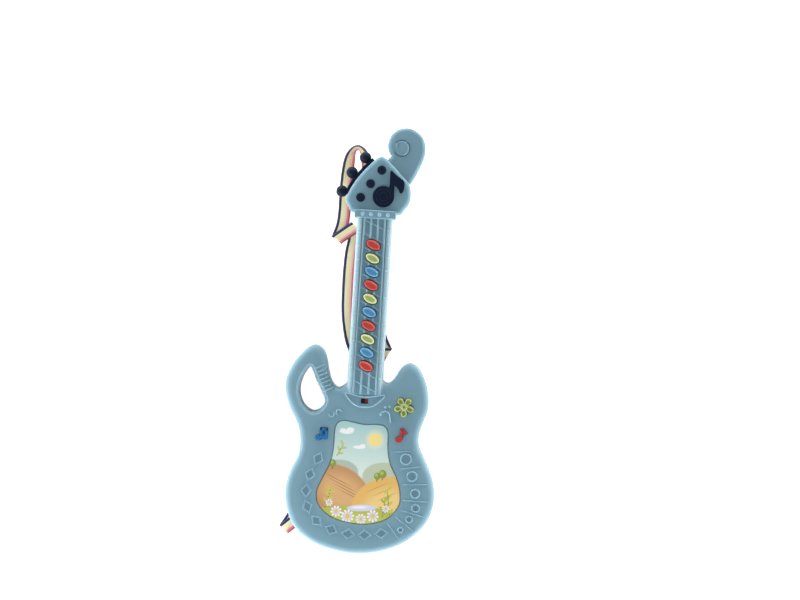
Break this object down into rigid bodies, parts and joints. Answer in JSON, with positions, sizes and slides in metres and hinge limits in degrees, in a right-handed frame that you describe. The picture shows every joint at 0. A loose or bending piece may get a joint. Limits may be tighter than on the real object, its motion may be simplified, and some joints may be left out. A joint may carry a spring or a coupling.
{
  "type": "toy electric guitar",
  "caption": "Flat toy guitar with a handle loop, a neck of sprung note keys, tune buttons, a slide switch, a picture plate, a scroll head with tuning pegs and a woven strap.",
  "frame": {"origin": "on the flat resting pad of the back, between the battery door and the speaker grille", "axes": "+Z out of the front face, +Y up the neck to the head, +X to the right as seen from the front"},
  "size_m": [0.1486, 0.4081, 0.0401],
  "materials": {
    "shell_blue": "satin moulded plastic",
    "picture_print": "printed film on plastic",
    "key_red": "glossy moulded plastic",
    "key_yellow": "glossy moulded plastic",
    "key_blue": "glossy moulded plastic",
    "flower_yellow": "glossy moulded plastic",
    "note_blue": "glossy moulded plastic",
    "note_red": "glossy moulded plastic",
    "switch_black": "matte moulded plastic",
    "switch_steel": "pressed plated steel",
    "keypad_rubber": "moulded silicone rubber",
    "circuit_board": "lacquered board",
    "chip_resin": "cured resin",
    "cable_grey": "flat ribbon cable",
    "speaker_steel": "plated pressed steel",
    "speaker_cone": "pressed black film",
    "speaker_magnet": "sintered magnet",
    "wire_red": "insulated wire",
    "screw_steel": "zinc plated steel",
    "contact_steel": "nickel plated steel",
    "cell_jacket": "plain printed jacket",
    "trim_navy": "glossy dark plastic",
    "strap_webbing": "woven striped ribbon",
    "tie_paper": "thin plastic band"
  },
  "bodies": {
    "housing": {"front_shell": "shell_blue", "back_shell": "shell_blue", "picture_plate": "picture_print", "switch_housing": "switch_steel", "key_rubber_strip": "keypad_rubber", "button_domes": "keypad_rubber", "neck_circuit_board": "circuit_board", "main_circuit_board": "circuit_board", "sound_chip": "chip_resin", "neck_cable": "cable_grey", "speaker_basket": "speaker_steel", "speaker_cone": "speaker_cone", "speaker_magnet": "speaker_magnet", "speaker_leads": "wire_red", "battery_door": "shell_blue", "battery_door_screw": "screw_steel", "battery_cell_1": "cell_jacket", "battery_cell_2": "cell_jacket", "battery_cell_3": "cell_jacket", "battery_contacts": "contact_steel", "battery_leads": "wire_red", "tuning_pegs": "trim_navy", "string_post_caps": "trim_navy", "note_emblem": "trim_navy", "case_screws": "screw_steel", "board_screws": "screw_steel", "strap": "strap_webbing", "strap_tie": "tie_paper"},
    "key_01_body": {"key_01": "key_red"},
    "key_02_body": {"key_02": "key_yellow"},
    "key_03_body": {"key_03": "key_blue"},
    "key_04_body": {"key_04": "key_red"},
    "key_05_body": {"key_05": "key_yellow"},
    "key_06_body": {"key_06": "key_blue"},
    "key_07_body": {"key_07": "key_red"},
    "key_08_body": {"key_08": "key_yellow"},
    "key_09_body": {"key_09": "key_blue"},
    "key_10_body": {"key_10": "key_red"},
    "flower_button_body": {"flower_button": "flower_yellow"},
    "blue_note_button_body": {"blue_note_button": "note_blue"},
    "red_note_button_body": {"red_note_button": "note_red"},
    "switch_slider_body": {"switch_slider": "switch_black"}
  },
  "joints": [
    {"name": "key_01_press", "type": "slide", "parent": "housing", "child": "key_01_body", "axis": [0, 0, -1], "range_m": [0, 0.0014], "stiffness_N_per_m": 500, "deforming": ["key_rubber_strip"]},
    {"name": "key_02_press", "type": "slide", "parent": "housing", "child": "key_02_body", "axis": [0, 0, -1], "range_m": [0, 0.0014], "stiffness_N_per_m": 500, "deforming": ["key_rubber_strip"]},
    {"name": "key_03_press", "type": "slide", "parent": "housing", "child": "key_03_body", "axis": [0, 0, -1], "range_m": [0, 0.0014], "stiffness_N_per_m": 500, "deforming": ["key_rubber_strip"]},
    {"name": "key_04_press", "type": "slide", "parent": "housing", "child": "key_04_body", "axis": [0, 0, -1], "range_m": [0, 0.0014], "stiffness_N_per_m": 500, "deforming": ["key_rubber_strip"]},
    {"name": "key_05_press", "type": "slide", "parent": "housing", "child": "key_05_body", "axis": [0, 0, -1], "range_m": [0, 0.0014], "stiffness_N_per_m": 500, "deforming": ["key_rubber_strip"]},
    {"name": "key_06_press", "type": "slide", "parent": "housing", "child": "key_06_body", "axis": [0, 0, -1], "range_m": [0, 0.0014], "stiffness_N_per_m": 500, "deforming": ["key_rubber_strip"]},
    {"name": "key_07_press", "type": "slide", "parent": "housing", "child": "key_07_body", "axis": [0, 0, -1], "range_m": [0, 0.0014], "stiffness_N_per_m": 500, "deforming": ["key_rubber_strip"]},
    {"name": "key_08_press", "type": "slide", "parent": "housing", "child": "key_08_body", "axis": [0, 0, -1], "range_m": [0, 0.0014], "stiffness_N_per_m": 500, "deforming": ["key_rubber_strip"]},
    {"name": "key_09_press", "type": "slide", "parent": "housing", "child": "key_09_body", "axis": [0, 0, -1], "range_m": [0, 0.0014], "stiffness_N_per_m": 500, "deforming": ["key_rubber_strip"]},
    {"name": "key_10_press", "type": "slide", "parent": "housing", "child": "key_10_body", "axis": [0, 0, -1], "range_m": [0, 0.0014], "stiffness_N_per_m": 500, "deforming": ["key_rubber_strip"]},
    {"name": "flower_button_press", "type": "slide", "parent": "housing", "child": "flower_button_body", "axis": [0, 0, -1], "range_m": [0, 0.0012], "stiffness_N_per_m": 600, "deforming": ["button_domes"]},
    {"name": "blue_note_button_press", "type": "slide", "parent": "housing", "child": "blue_note_button_body", "axis": [0, 0, -1], "range_m": [0, 0.0012], "stiffness_N_per_m": 600, "deforming": ["button_domes"]},
    {"name": "red_note_button_press", "type": "slide", "parent": "housing", "child": "red_note_button_body", "axis": [0, 0, -1], "range_m": [0, 0.0012], "stiffness_N_per_m": 600, "deforming": ["button_domes"]},
    {"name": "switch_slide", "type": "slide", "parent": "housing", "child": "switch_slider_body", "axis": [1, 0, 0], "range_m": [0, 0.003]}
  ]
}
